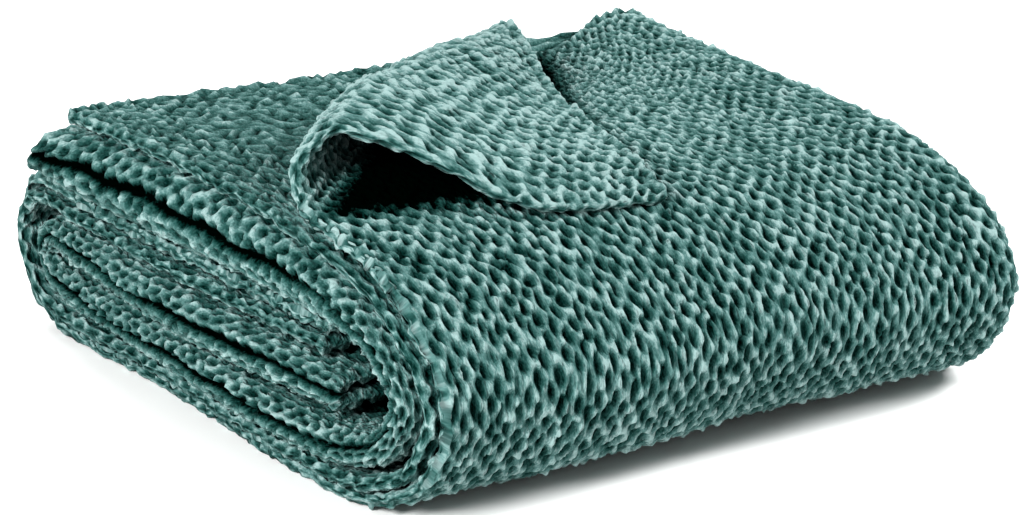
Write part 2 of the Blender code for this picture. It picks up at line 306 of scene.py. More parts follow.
    def place(self, across: Grid, along: Grid) -> Grid:
        """Folds flat points: each run of the width is a ply or a half-turn between two plies.

        Args:
            across, along: Places on the flat cloth.

        Returns:
            Their places in the stack, with X, Y and Z last.
        """
        across, along, height = self.turn_back(across, along)
        near = -self.stack / 2 + self.solid_thickness / 2
        far = self.stack / 2 - self.solid_thickness / 2 - self.far_fold_reach
        ply = {}
        for number in (1, 2, 3, 4):
            y, z = (np.interp(along, self.marks, line) for line in self.lines[number])
            ply[number] = (y + self.hem_reach(number, across, along), z)
        half_near = np.hypot(ply[2][0] - ply[1][0], ply[2][1] - ply[1][1]) / 2
        near_reach = np.clip(half_near, self.near_reach_least, self.near_reach_most)
        starts = {number: near + np.interp(along, self.marks, self.edges[number])
                  for number in (3, 4)}
        starts[1] = near + near_reach
        inner_far = far - self.far_inner_setback
        runs = (("ply", self.ply, 4, starts[4], far),
                ("fold", self.outer_fold, (4, 1), far, self.far_fold_reach),
                ("ply", self.ply, 1, far, starts[1]),
                ("fold", self.near_fold, (1, 2), starts[1], -near_reach),
                ("ply", self.ply, 2, starts[1], inner_far),
                ("fold", self.inner_fold, (2, 3), inner_far, self.far_inner_reach),
                ("ply", self.ply, 3, inner_far, starts[3]))
        x, y, z = (np.zeros_like(across) for _ in range(3))
        begin = 0.0
        for kind, length, which, first, second in runs:
            part = np.clip((across - begin) / length, 0.0, 1.0)
            inside = across >= begin - 1e-9
            if kind == "ply":
                spot = (first + (second - first) * part, ply[which][0], ply[which][1])
            else:
                turn = math.pi * part
                mix = (1 - np.cos(turn)) / 2
                away, back = ply[which[0]], ply[which[1]]
                spot = (first + second * np.sin(turn), away[0] + (back[0] - away[0]) * mix,
                        away[1] + (back[1] - away[1]) * mix)
            x, y, z = (np.where(inside, new, old) for new, old in zip(spot, (x, y, z)))
            begin += length
        lift_y, lift_z = (np.interp(along, self.marks, line) for line in self.lift)
        return self.settle(x, y + lift_y * height, z + lift_z * height)

    def normal(self, across: Grid, along: Grid, step: float = 1.2 * MM) -> Grid:
        """Unit normals on the cloth's face side: the slopes along and across, crossed.

        Args:
            across, along: Places on the flat cloth.
            step: How far apart the slopes are read.

        Returns:
            The normals, with X, Y and Z last.
        """
        slope_across = self.place(across + step, along) - self.place(across - step, along)
        slope_along = self.place(across, along + step) - self.place(across, along - step)
        normal = np.cross(slope_along, slope_across)
        size = np.linalg.norm(normal, axis=-1, keepdims=True)
        return normal / np.maximum(size, 1e-12)


@dataclass(frozen=True)
class SoftNoise:
    """Even random hills: a table of random heights, blended smoothly between its points."""

    size: float
    seed: int
    table_size: int = 97

    def read(self, across: Grid, along: Grid) -> Grid:
        """Blends the four nearest table heights with smooth steps.

        Args:
            across, along: Places on the flat cloth.

        Returns:
            Heights between -1 and 1.
        """
        table = np.random.default_rng(self.seed).uniform(-1, 1, (self.table_size,) * 2)
        column, row = across / self.size, along / self.size
        left, low = np.floor(column), np.floor(row)
        mix_u, mix_v = smooth_step(column - left), smooth_step(row - low)
        i, j = left.astype(int) % self.table_size, low.astype(int) % self.table_size
        right, high = (i + 1) % self.table_size, (j + 1) % self.table_size
        low_row = table[i, j] * (1 - mix_u) + table[right, j] * mix_u
        high_row = table[i, high] * (1 - mix_u) + table[right, high] * mix_u
        return low_row * (1 - mix_v) + high_row * mix_v


class Face(Enum):
    """The two sides of the cloth."""

    FRONT = 1
    BACK = -1


@dataclass(frozen=True)
class Crease:
    """A soft trough or ridge in the cloth, from one flat place to another."""

    start: tuple[float, float]
    end: tuple[float, float]
    half_width: float
    height: float
    half_run: float = 0.62
    fade: float = 0.3

    def read(self, across: Grid, along: Grid) -> Grid:
        """A bell across the line between its ends, fading out towards both.

        Args:
            across, along: Places on the flat cloth.

        Returns:
            Heights out of the cloth.
        """
        run = np.subtract(self.end, self.start)
        length = math.hypot(*run)
        du, dv = across - self.start[0], along - self.start[1]
        part = (du * run[0] + dv * run[1]) / length ** 2
        off = np.abs(du * run[1] - dv * run[0]) / length
        ends = smooth_step((self.half_run - np.abs(part - 0.5)) / self.fade)
        return self.height * np.exp(-(off / self.half_width) ** 2) * ends


@dataclass
class HoneycombWeave:
    """The cells of the weave: dark oval pits in staggered columns, with plump knobs between."""

    column_pitch: float = 6.2 * MM
    cell_pitch: float = 12.0 * MM
    pit_across: float = 2.5 * MM
    pit_along: float = 4.3 * MM
    pit_depth: float = 3.2 * MM
    pad_across: float = 2.2 * MM
    pad_along: float = 3.2 * MM
    pad_height: float = 1.6 * MM
    rib_height: float = 0.3 * MM
    rib_width: float = 0.5
    bar_height: float = 1.6 * MM
    bar_sway: float = 0.9 * MM
    size_spread: tuple[float, float] = (0.25, 0.30)
    pit_bowl: tuple[float, float] = (0.10, 1.1)
    pad_spread: float = 0.45
    pad_bell: float = 2.6
    power_middle: float = 0.85
    power_spread: float = 0.3
    power_patch: float = 0.45
    power_most: float = 1.15
    jitter: float = 0.30
    warp: float = 2.0 * MM
    along_warp: float = 1.4
    fine_warp: float = 1.2 * MM
    hill_sizes: tuple[float, ...] = (34 * MM, 41 * MM, 7 * MM, 8 * MM, 21 * MM)
    knot_height: float = 0.65 * MM
    knot_size: float = 2.8 * MM
    strand_height: float = 0.30 * MM
    strand_size: float = 1.9 * MM
    strand_stretch: float = 0.3
    table_size: int = 89
    front_seed: int = 11
    back_seed: int = 23
    far_oval: float = 9.0
    base_open: float = 0.27
    pad_open: float = 0.28
    rib_open: float = 0.08
    bar_open: float = 0.26
    knot_open: float = 0.18
    strand_open: float = 0.16

    def sites(self, across: Grid, along: Grid, half_step: float,
              seed: int) -> list[tuple[Grid, ...]]:
        """The nine nearest sites of a staggered lattice, every second column half a cell on.

        Args:
            across, along: Places on the flat cloth.
            half_step: Moves the lattice along the cloth, in cells.
            seed: Picks the random shifts, sizes and strengths.

        Returns:
            For each site, the distances to it in pitches and three random numbers from -1 to 1.
        """
        table = np.random.default_rng(seed).uniform(-1, 1, (5, self.table_size, self.table_size))
        found = []
        nearest = np.round(across / self.column_pitch)
        for side in (-1, 0, 1):
            column = nearest + side
            offset = 0.5 * np.mod(column, 2) + half_step
            middle = np.round(along / self.cell_pitch - offset)
            for step in (-1, 0, 1):
                row = middle + step
                i = column.astype(int) % self.table_size
                j = row.astype(int) % self.table_size
                du = across / self.column_pitch - column - self.jitter * table[0, i, j]
                dv = along / self.cell_pitch - row - offset - 0.5 * self.jitter * table[1, i, j]
                found.append((du, dv, table[2, i, j], table[3, i, j], table[4, i, j]))
        return found

    def oval(self, du: Grid, dv: Grid, half_across: float, half_along: float,
             wide: Grid, tall: Grid) -> Grid:
        """Distance to a site, as a share of its own oval.

        Args:
            du: Distance across, in columns.
            dv: Distance along, in cells.
            half_across: Half the mean oval's width.
            half_along: Half the mean oval's length.
            wide: The site's random number for its width.
            tall: The site's random number for its length.

        Returns:
            0 in the middle and 1 on the oval's line.
        """
        spread_across, spread_along = self.size_spread
        return np.hypot(du * self.column_pitch / (half_across * (1 + spread_across * wide)),
                        dv * self.cell_pitch / (half_along * (1 + spread_along * tall)))

    def read(self, across: Grid, along: Grid, face: Face) -> tuple[Grid, Grid]:
        """Height of one side's relief, and how open to the light each point is.

        Knobs are bells and pits are bowls, each by its oval distance; the highest knob and the
        deepest pit win. Ribs stand where the two nearest pits are equally far, and bars run along
        the cloth between the columns, as raised cosines that bulge round each pit. The other
        side has pits where this has knobs.

        Args:
            across, along: Places on the flat cloth.
            face: The side of the cloth.

        Returns:
            Heights out of that side, and openness from 0 in a pit to 1 on a pad.
        """
        seed = self.front_seed if face is Face.FRONT else self.back_seed
        bend, drift, crinkle, ripple, patch = (
            SoftNoise(size, seed + at).read(across, along)
            for at, size in enumerate(self.hill_sizes, start=1))
        u = across + self.warp * bend + self.fine_warp * crinkle
        v = along + self.along_warp * self.warp * drift + self.fine_warp * ripple
        turn = 0.0 if face is Face.FRONT else 0.5
        pit = np.zeros_like(u)
        first = np.full_like(u, self.far_oval)
        second = np.full_like(u, self.far_oval)
        for du, dv, wide, tall, strong in self.sites(u, v, turn, seed + 6):
            oval = self.oval(du, dv, self.pit_across, self.pit_along, wide, tall)
            power = np.clip(self.power_middle + self.power_spread * strong
                            + self.power_patch * patch, 0.0, self.power_most)
            rim, run = self.pit_bowl
            pit = np.maximum(pit, power * (1 - smooth_step((oval - rim) / run)))
            second = np.minimum(second, np.maximum(first, oval))
            first = np.minimum(first, oval)
        rib = np.exp(-((second - first) / self.rib_width) ** 2)
        column = np.floor(u / self.column_pitch)
        sway = self.bar_sway * np.cos(2 * math.pi * (v / self.cell_pitch - turn))
        sway = sway * (1 - 2 * np.mod(column, 2))
        off = (u - sway) / self.column_pitch - column - 0.5
        bar = (1 + np.cos(2 * math.pi * off)) / 2
        pad = np.zeros_like(u)
        for du, dv, wide, tall, strong in self.sites(u, v, turn + 0.5, seed + 7):
            oval = self.oval(du, dv, self.pad_across, self.pad_along, wide, tall)
            pad = np.maximum(pad, (1 + self.pad_spread * strong)
                             * np.exp(-oval ** self.pad_bell))
        knots = SoftNoise(self.knot_size, seed + 8).read(across, along)
        strands = SoftNoise(self.strand_size, seed + 9).read(across, self.strand_stretch * along)
        height = (self.pad_height * pad + self.rib_height * rib + self.bar_height * bar
                  - self.pit_depth * pit + self.knot_height * knots
                  + self.strand_height * strands)
        openness = (self.base_open + self.pad_open * pad + self.rib_open * rib
                    + self.bar_open * bar - pit + self.knot_open * knots
                    + self.strand_open * strands)
        return height, np.clip(openness, 0, 1)


@dataclass
class HoneycombCloth:
    """The cloth as a sheet with two woven sides, puffy hems and a few listed creases."""

    half_thickness: float = 2.3 * MM
    hem_round: float = 4.2 * MM
    hem_width: float = 9.0 * MM
    hem_swell: float = 1.2 * MM
    hem_lobes: float = 1.2 * MM
    hem_lobe_hills: SoftNoise = SoftNoise(3.8 * MM, 73)
    hem_waver: float = 1.5 * MM
    hem_waver_hills: SoftNoise = SoftNoise(4.5 * MM, 77)
    hem_waver_reach: float = 12 * MM
    hem_lift: float = 1.2 * MM
    hem_lift_hills: SoftNoise = SoftNoise(13 * MM, 78)
    hem_start: float = 2 * MM
    hem_run: float = 10 * MM
    hem_groove: float = 0.8 * MM
    hem_groove_width: float = 1.5 * MM
    hem_groove_shade: float = 0.3
    band_edge: float = 3 * MM
    band_smoother: float = 0.15
    band_shade: float = 0.2
    band_tone: tuple[float, float] = (0.62, 0.4)
    cut_band: float = 0.3
    rim_clip: float = 0.99
    near_stretch: float = 0.25
    groove_depth: float = 5.5 * MM
    groove_width: float = 1.8 * MM
    groove_sway: float = 3.0 * MM
    groove_sway_hills: SoftNoise = SoftNoise(48 * MM, 75)
    groove_depths: tuple[float, float] = (0.75, 0.35)
    groove_depth_hills: SoftNoise = SoftNoise(70 * MM, 76)
    groove_shade: float = 0.8
    end_shown: float = 45 * MM
    end_fade: float = 25 * MM
    hem_shown: float = 45 * MM
    hem_fade: float = 15 * MM
    fold_inset: float = 10 * MM
    fold_lead: float = 24 * MM
    fold_fade: float = 14 * MM
    wrap_end: float = 0.90
    wrap_fade: float = 0.05
    third_lead: float = 20 * MM
    third_end: float = 0.30
    third_fade: float = 0.03
    lit_depth: float = 24 * MM
    lit_fade: float = 36 * MM
    hem_lit: float = 60 * MM
    hem_lit_fade: float = 70 * MM
    flap_shade: float = 26 * MM
    flap_shade_start: float = 20 * MM
    lip_lit: float = 7 * MM
    hollow_shade: float = 0.6
    # Painted light on the turned corner, the only place where the top ply's back shows.
    flap_painted_light: float = 0.10
    third_darker: float = 0.08

    def __post_init__(self) -> None:
        """Joins the weave with the stack that it lies along."""
        self.stack = FoldedStack()
        self.weave = HoneycombWeave()
        self.near = self.stack.near_start + self.stack.near_fold / 2
        self.creases = (
            Crease((0.05, 0.10), (0.17, 0.15), 16 * MM, 2.5 * MM),
            Crease((0.12, 0.03), (0.20, 0.10), 14 * MM, -2.0 * MM),
            Crease((0.33, 0.05), (0.22, 0.24), 18 * MM, 1.6 * MM),
            Crease((0.10, 0.31), (0.38, 0.28), 16 * MM, 1.2 * MM),
            Crease((0.09, 0.33), (0.08, 0.46), 12 * MM, 1.5 * MM),
            Crease((0.21, 0.31), (0.23, 0.47), 15 * MM, -1.5 * MM),
            Crease((0.31, 0.30), (0.30, 0.45), 13 * MM, 1.6 * MM),
        )

    def shown(self, across: Grid, along: Grid, reach: float, fade: float) -> Grid:
        """How open a place is: 1 where the cloth shows, 0 deep inside the stack.

        Args:
            across, along: Places on the flat cloth.
            reach: How far from the open end it is all open.
            fade: Over which length that then fades out.

        Returns:
            Shares between 0 and 1.
        """
        stack = self.stack
        to_fold = 1 - smooth_step(
            (across - stack.ply - stack.outer_fold + self.fold_inset) / self.fold_fade)
        outside = to_fold * (1 - smooth_step((along - self.wrap_end) / self.wrap_fade))
        from_end = np.minimum(np.minimum(np.abs(across - self.near), stack.width - across),
                              across)
        ends = 1 - smooth_step((from_end - reach) / fade)
        hems = 1 - smooth_step((along - self.hem_shown) / self.hem_fade)
        far = to_fold * smooth_step((across - stack.ply + self.fold_lead) / self.fold_fade)
        third = smooth_step((across - stack.inner_start - stack.inner_fold) / self.third_lead)
        third = third * (1 - smooth_step((along - self.third_end) / self.third_fade))
        return np.maximum.reduce((outside, ends, hems, far, third))

    def under_flap(self, across: Grid, along: Grid) -> Grid:
        """How deep a place lies in the hollow under the turned corner, on the front side.

        The hollow is the triangle between the roll's two ends and the corner's tip as it lies,
        and the flap's own face side.

        Args:
            across, along: Places on the flat cloth.

        Returns:
            Shares between 0 at its rim and 1 inside.
        """
        stack = self.stack
        tip_u, tip_v, _ = (float(part[0]) for part in
                           stack.turn_back(np.zeros(1), np.zeros(1)))
        corners = ((0.0, stack.roll_along_edge), (stack.roll_along_hem, 0.0), (tip_u, tip_v))
        inside = np.full_like(across, 1.0)
        for (from_u, from_v), (to_u, to_v) in zip(corners, corners[1:] + corners[:1]):
            run_u, run_v = to_u - from_u, to_v - from_v
            size = math.hypot(run_u, run_v)
            off = (run_u * (along - from_v) - run_v * (across - from_u)) / size
            inside = np.minimum(inside, off)
        beyond = (stack.roll_along_hem * (stack.roll_along_edge - along)
                  - stack.roll_along_edge * across) / math.hypot(stack.roll_along_edge,
                                                                 stack.roll_along_hem)
        turned = np.where(across < stack.ply, beyond - self.flap_shade_start, -1.0)
        turned = smooth_step(turned / self.flap_shade) * smooth_step(
            (np.minimum(across, along) - self.lip_lit) / self.flap_shade)
        return np.maximum(smooth_step((inside + self.flap_shade / 3) / self.flap_shade), turned)

    def near_groove(self, across: Grid, along: Grid) -> Grid:
        """How far the near fold's middle is drawn in, which parts it in two ropes.

        Args:
            across, along: Places on the flat cloth.

        Returns:
            Depths.
        """
        sway = self.groove_sway * self.groove_sway_hills.read(along, along)
        mean, spread = self.groove_depths
        depth = mean + spread * self.groove_depth_hills.read(along, along)
        return self.groove_depth * depth * np.exp(
            -((across - self.near - sway) / self.groove_width) ** 2)

    def rim_shift(self, edge: Grid) -> Grid:
        """How far past its place the pattern is read near a rim, to run evenly over the rounding.

        Args:
            edge: Distances from the rim on the flat cloth.

        Returns:
            The arc from the rim, less the distance, less the same where the rounding ends.
        """
        near = np.clip(edge, 0, self.hem_round)
        arc = np.arccos(1 - near / self.hem_round) - math.pi / 2 + 1
        return self.hem_round * arc - near

    def side(self, across: Grid, along: Grid, face: Face) -> tuple[Grid, Grid]:
        """Distance of one side from the cloth's middle, and its openness.

        Near a hem the side comes down on a quarter circle, over a swollen band of lobes that a
        stitched groove ends. The pattern runs faster where the near fold stretches the cloth.

        Args:
            across, along: Places on the flat cloth.
            face: The side of the cloth.

        Returns:
            Distances, and openness: 0 in a pit, 1 on a knob and less than 0 in a hollow.
        """
        half_fold = self.stack.near_fold / 2
        pulled = self.near_stretch * np.clip(across - self.near, -half_fold, half_fold)
        from_cut = np.minimum(across, self.stack.width - across)
        from_hem = np.minimum(along, self.stack.length - along)
        past_cut = self.rim_shift(from_cut) * np.sign(self.stack.width / 2 - across)
        past_hem = self.rim_shift(from_hem) * np.sign(self.stack.length / 2 - along)
        height, openness = self.weave.read(across + pulled + past_cut, along + past_hem, face)
        shown = self.shown(across, along, self.end_shown, self.end_fade)
        edge = np.minimum(from_cut, from_hem)
        cut = smooth_step((self.hem_width / 2 - from_cut) / self.band_edge)
        band = np.maximum(smooth_step((self.hem_width - from_hem) / self.band_edge),
                          self.cut_band * cut)
        groove = np.exp(-((from_hem - self.hem_width) / self.hem_groove_width) ** 2)
        lobes = self.hem_lobe_hills.read(across, along)
        plump = self.hem_swell + self.hem_lobes * lobes
        height = (height * (1 - self.band_smoother * band) + plump * band
                  - self.hem_groove * groove)
        # Painted light and shade on the hem: the band's openness follows its lobes, paler on the
        # high ones, and the stitched groove is painted darker.
        mean, spread = self.band_tone
        openness = (openness * (1 - self.band_shade * band)
                    + self.band_shade * band * (mean + spread * lobes))
        openness = openness * (1 - self.hem_groove_shade * groove)
        # Painted shade: openness falls to black deep inside the stack, in the hollow under the
        # turned corner and in the near fold's groove, while the open end and the hems stay lit.
        lit = np.maximum(self.shown(across, along, self.lit_depth, self.lit_fade),
                         1 - smooth_step((along - self.hem_lit) / self.hem_lit_fade))
        if face is Face.FRONT:
            lit = lit * (1 - self.under_flap(across, along))
            drawn_in = self.near_groove(across, along) / self.groove_depth
            lit = lit * (1 - np.minimum(drawn_in, self.groove_shade))
        else:
            # Painted light: the top ply's back, which shows only on the turned corner, is made
            # paler. The third ply's back is made darker.
            openness = openness + self.flap_painted_light * (across < self.stack.ply)
            openness = openness - self.third_darker * (across > self.stack.inner_start)
        openness = openness * lit - self.hollow_shade * (1 - lit)
        rounding = np.sqrt(1 - np.clip(1 - edge / self.hem_round, 0, self.rim_clip) ** 2)
        return (self.half_thickness + height * shown) * rounding, openness

    def surfaces(self, across: Grid, along: Grid) -> dict[Face, tuple]:
        """Both sides of the sheet: its middle, creased, and moved out along its normals.

        Nothing goes below the surface that the throw lies on, so the underside is pressed flat.

        Args:
            across, along: Places on the flat cloth, as grids.

        Returns:
            For each side, its points, its openness and its signed distance from the middle.
        """
        stack = self.stack
        from_end = np.minimum(across, stack.width - across)
        hem = 1 - smooth_step((np.minimum(from_end, along) - self.hem_start) / self.hem_run)
        waver = self.hem_waver * self.hem_waver_hills.read(across, along) * hem
        middle = stack.place(across, along)
        inner = np.clip(across, self.hem_start, stack.width - self.hem_start)
        run = (stack.place(inner + self.hem_start, along)
               - stack.place(inner - self.hem_start, along))
        run = run / np.linalg.norm(run, axis=-1, keepdims=True)
        middle = middle + run * (waver * (from_end < self.hem_waver_reach))[..., None]
        normal = stack.normal(across, along)
        crease = sum(line.read(across, along) for line in self.creases)
        crease = crease - self.near_groove(across, along)
        crease = crease + self.hem_lift * self.hem_lift_hills.read(across, along) * hem
        found = {}
        for face in Face:
            distance, openness = self.side(across, along, face)
            points = middle + normal * (crease + face.value * distance)[..., None]
            points[..., 2] = np.maximum(points[..., 2], 0.0)
            found[face] = (points, openness, face.value * distance)
        return found


@dataclass(frozen=True)
class Zone:
    """A stretch of grid lines with even steps, up to its end."""

    end: float
    step: float = 0.0
    back_skip: int = 1


@dataclass
class ClothPanel:
    """A stretch of the cloth as one closed mesh, between grid lines of the flat cloth.

    The first zone only says where the panel starts. The back keeps every line of a zone, or one
    in back_skip of them where it is hidden.
    """

    name: str
    across: tuple[Zone, ...]
    along: tuple[Zone, ...]

    @staticmethod
    def lines(zones: tuple[Zone, ...]) -> tuple[Grid, Grid]:
        """Grid lines through zones, and which of them the back keeps.

        Args:
            zones: The panel's zones in one direction.

        Returns:
            The lines' places, and the numbers of the lines that the back keeps.
        """
        places, kept = [zones[0].end], [0]
        for before, zone in zip(zones[:-1], zones[1:]):
            count = max(1, round((zone.end - before.end) / zone.step))
            first = len(places) - 1
            kept.extend(range(first + zone.back_skip, first + count, zone.back_skip))
            kept.append(first + count)
            places.extend(np.linspace(before.end, zone.end, count + 1)[1:])
        return np.array(places), np.array(kept)

    @staticmethod
    def quads(index: Grid) -> Grid:
        """The cells of a grid of point numbers, four to a cell, turned to the face side."""
        return np.stack((index[:-1, :-1], index[:-1, 1:], index[1:, 1:], index[1:, :-1]),
                        axis=-1).reshape(-1, 4)

    @staticmethod
    def wall(front: Grid, back: Grid, kept: Grid) -> list[list[int]]:
        """One wall of the rim, a face between each two lines that the back keeps.

        Args:
            front: The rim's points on the front, in order.
            back: The rim's points on the back, in order.
            kept: Where the back's points stand among the front's.

        Returns:
            The wall's faces.
        """
        front, back = front.tolist(), back.tolist()
        return [[*front[first:last + 1][::-1], back[spot], back[spot + 1]]
                for spot, (first, last) in enumerate(zip(kept[:-1], kept[1:]))]

    def build(self, cloth: HoneycombCloth, material: bpy.types.Material) -> bpy.types.Object:
        """Makes the panel: two grids of points back to back, joined by walls round their rim.

        Args:
            cloth: Gives both sides' points.
            material: The cloth's material.

        Returns:
            The panel's object.
        """
        places_u, kept_u = self.lines(self.across)
        places_v, kept_v = self.lines(self.along)
        across, along = np.meshgrid(places_u, places_v, indexing="ij")
        sides = cloth.surfaces(across, along)
        front, front_open, front_off = sides[Face.FRONT]
        keep = np.ix_(kept_u, kept_v)
        back, back_open, back_off = (part[keep] for part in sides[Face.BACK])
        index = np.arange(across.size).reshape(across.shape)
        under = np.arange(back_open.size).reshape(back_open.shape) + across.size
        turned_u, turned_v = (len(places) - 1 - kept[::-1]
                              for places, kept in ((places_u, kept_u), (places_v, kept_v)))
        faces = self.quads(index).tolist() + self.quads(under)[:, ::-1].tolist()
        faces += self.wall(index[0], under[0], kept_v)
        faces += self.wall(index[:, -1], under[:, -1], kept_u)
        faces += self.wall(index[-1, ::-1], under[-1, ::-1], turned_v)
        faces += self.wall(index[::-1, 0], under[::-1, 0], turned_u)
        points = np.concatenate((front.reshape(-1, 3), back.reshape(-1, 3)))
        mesh = bpy.data.meshes.new(self.name)
        mesh.from_pydata(points.tolist(), [], faces)
        mesh.polygons.foreach_set("use_smooth", np.ones(len(faces), dtype=bool))
        rim = np.zeros(len(points), dtype=bool)
        for grid in (index, under):
            for line in (grid[0], grid[-1], grid[:, 0], grid[:, -1]):
                rim[line] = True
        self.mark_rim(mesh, rim, across.size)
        openness = mesh.attributes.new("openness", "FLOAT", "POINT")
        openness.data.foreach_set("value", np.concatenate((front_open.ravel(), back_open.ravel()))
                                  .astype(np.float32))
        place = mesh.attributes.new("flat_place", "FLOAT_VECTOR", "POINT")
        flat = [np.stack((across, along, front_off), axis=-1),
                np.stack((across[keep], along[keep], back_off), axis=-1)]
        flat = np.concatenate([part.reshape(-1, 3) for part in flat])
        place.data.foreach_set("vector", flat.ravel().astype(np.float32))
        mesh.materials.append(material)
        panel = bpy.data.objects.new(self.name, mesh)
        bpy.context.scene.collection.objects.link(panel)
        return panel

    def flat_size(self, length: float, cut_length: float) -> tuple[float, float]:
        """Its size across and along when pulled flat: the length grows by cut_length / length."""
        across = self.across[-1].end - self.across[0].end
        return across, (self.along[-1].end - self.along[0].end) * cut_length / length

    @staticmethod
    def mark_rim(mesh: bpy.types.Mesh, rim: Grid, count: int) -> None:
        """Marks the rim's edges sharp, so that the shading of the sides doesn't turn there.

        Args:
            mesh: The panel's mesh.
            rim: Which points are on the rim.
            count: How many points the front has.
        """
        edges = np.empty(2 * len(mesh.edges), dtype=np.int32)
        mesh.edges.foreach_get("vertices", edges)
        pairs = edges.reshape(-1, 2)
        same_side = (pairs[:, 0] < count) == (pairs[:, 1] < count)
        sharp = rim[pairs[:, 0]] & rim[pairs[:, 1]] & same_side
        marks = mesh.attributes.new("sharp_edge", "BOOLEAN", "EDGE")
        marks.data.foreach_set("value", sharp)


@dataclass(frozen=True)
class CrinkledCotton:
    """Thick cotton yarn, spun soft, woven in honeycomb cells, dyed sea green and washed.

    Pads are matte, fuzzy and greyed green. Painted shade takes the pits nearly to black green and
    the hollows all but to black, and a painted highlight makes the yarn paler where it stands
    proud.
    """

    # The ramp's colours: painted shade in hollow and pit, a painted highlight in proud, the dyed
    # green in wall and pad.
    hollow: str = "000201"
    pit: str = "00201c"
    wall: str = "1f4743"
    pad: str = "4c716e"
    proud: str = "88a4a2"
    roughness: float = 0.9
    fuzz: float = 0.10
    gloss: float = 0.15
    fuzz_roughness: float = 0.6
    yarn_spacing: float = 2.1 * MM
    fibre_spacing: float = 0.8 * MM
    shade_spacing: float = 22 * MM
    stops: tuple[float, ...] = (0.02, 0.18, 0.48, 0.74, 1.0)
    shade_span: float = 0.20
    shade_detail: float = 3.0
    yarn_shade: float = -0.25
    yarn_smoothness: float = 0.5
    yarn_stretch: float = 0.45
    fibre_shade: float = 0.6
    fibre_detail: float = 2.0
    fibre_relief: float = -0.5
    relief_height: float = 2.0 * MM

    @staticmethod
    def add(material: bpy.types.Material, kind: str, settings: dict | None = None,
            inputs: dict | None = None) -> bpy.types.Node:
        """Adds a node with its settings, its constants and its links.

        Args:
            material: The material that gets the node.
            kind: The node's type name.
            settings: Properties of the node.
            inputs: Socket values, or sockets of other nodes to link from.

        Returns:
            The node.
        """
        node = material.node_tree.nodes.new(kind)
        for name, value in (settings or {}).items():
            setattr(node, name, value)
        for name, value in (inputs or {}).items():
            if isinstance(value, bpy.types.NodeSocket):
                material.node_tree.links.new(value, node.inputs[name])
            else:
                node.inputs[name].default_value = value
        return node

    def material(self) -> bpy.types.Material:
        """Builds the material.

        Returns:
            The finished material.
        """
        cotton = bpy.data.materials.new("crinkled honeycomb cotton")
        cotton.use_nodes = True
        cotton.node_tree.nodes.clear()
        add = self.add
        place = add(cotton, "ShaderNodeAttribute", {"attribute_name": "flat_place"})
        openness = add(cotton, "ShaderNodeAttribute", {"attribute_name": "openness"})
        shade = add(cotton, "ShaderNodeTexNoise", {}, {
            "Vector": place.outputs["Vector"], "Scale": 1 / self.shade_spacing,
            "Detail": self.shade_detail})
        drawn = add(cotton, "ShaderNodeVectorMath", {"operation": "MULTIPLY"}, {
            0: place.outputs["Vector"], 1: (1.0, self.yarn_stretch, 1.0)})
        yarn = add(cotton, "ShaderNodeTexVoronoi", {"feature": "SMOOTH_F1"}, {
            "Vector": drawn.outputs[0], "Scale": 1 / self.yarn_spacing,
            "Smoothness": self.yarn_smoothness})
        fibre = add(cotton, "ShaderNodeTexNoise", {}, {
            "Vector": drawn.outputs[0], "Scale": 1 / self.fibre_spacing,
            "Detail": self.fibre_detail})
        uneven = add(cotton, "ShaderNodeMath", {"operation": "MULTIPLY_ADD"}, {
            0: shade.outputs["Fac"], 1: self.shade_span, 2: -self.shade_span / 2})
        speckle = add(cotton, "ShaderNodeMath", {"operation": "MULTIPLY_ADD"}, {
            0: yarn.outputs["Distance"], 1: self.yarn_shade, 2: uneven.outputs[0]})
        streaked = add(cotton, "ShaderNodeMath", {"operation": "MULTIPLY_ADD"}, {
            0: fibre.outputs["Fac"], 1: self.fibre_shade, 2: speckle.outputs[0]})
        level = add(cotton, "ShaderNodeMath", {"operation": "ADD"}, {
            0: openness.outputs["Fac"], 1: streaked.outputs[0]})
        # Painted shade and highlight: openness runs from painted black in hollows and pits to a
        # pale painted highlight on proud yarn.
        ramp = add(cotton, "ShaderNodeValToRGB", {}, {0: level.outputs[0]})
        ends = ramp.color_ramp.elements
        ends[0].position, ends[0].color = self.stops[0], linear_colour(self.hollow)
        ends[1].position, ends[1].color = self.stops[-1], linear_colour(self.proud)
        for position, colour in zip(self.stops[1:-1], (self.pit, self.wall, self.pad)):
            ends.new(position).color = linear_colour(colour)
        relief = add(cotton, "ShaderNodeMath", {"operation": "MULTIPLY_ADD"}, {
            0: fibre.outputs["Fac"], 1: self.fibre_relief, 2: yarn.outputs["Distance"]})
        # Sheen and specular fall with the same openness, so the painted shade also takes them out
        # of pits and hollows.
        sheen = add(cotton, "ShaderNodeMath", {"operation": "MULTIPLY", "use_clamp": True}, {
            0: level.outputs[0], 1: self.fuzz})
        gloss = add(cotton, "ShaderNodeMath", {"operation": "MULTIPLY", "use_clamp": True}, {
            0: level.outputs[0], 1: self.gloss})
        bump = add(cotton, "ShaderNodeBump", {"invert": True}, {
            "Height": relief.outputs[0], "Strength": 1.0, "Distance": self.relief_height})
        shader = add(cotton, "ShaderNodeBsdfPrincipled", {}, {
            "Base Color": ramp.outputs["Color"], "Roughness": self.roughness,
            "Sheen Weight": sheen.outputs[0], "Sheen Roughness": self.fuzz_roughness,
            "Sheen Tint": linear_colour(self.proud), "Specular IOR Level": gloss.outputs[0],
            "Normal": bump.outputs["Normal"]})
        add(cotton, "ShaderNodeOutputMaterial", {}, {"Surface": shader.outputs["BSDF"]})
        return cotton


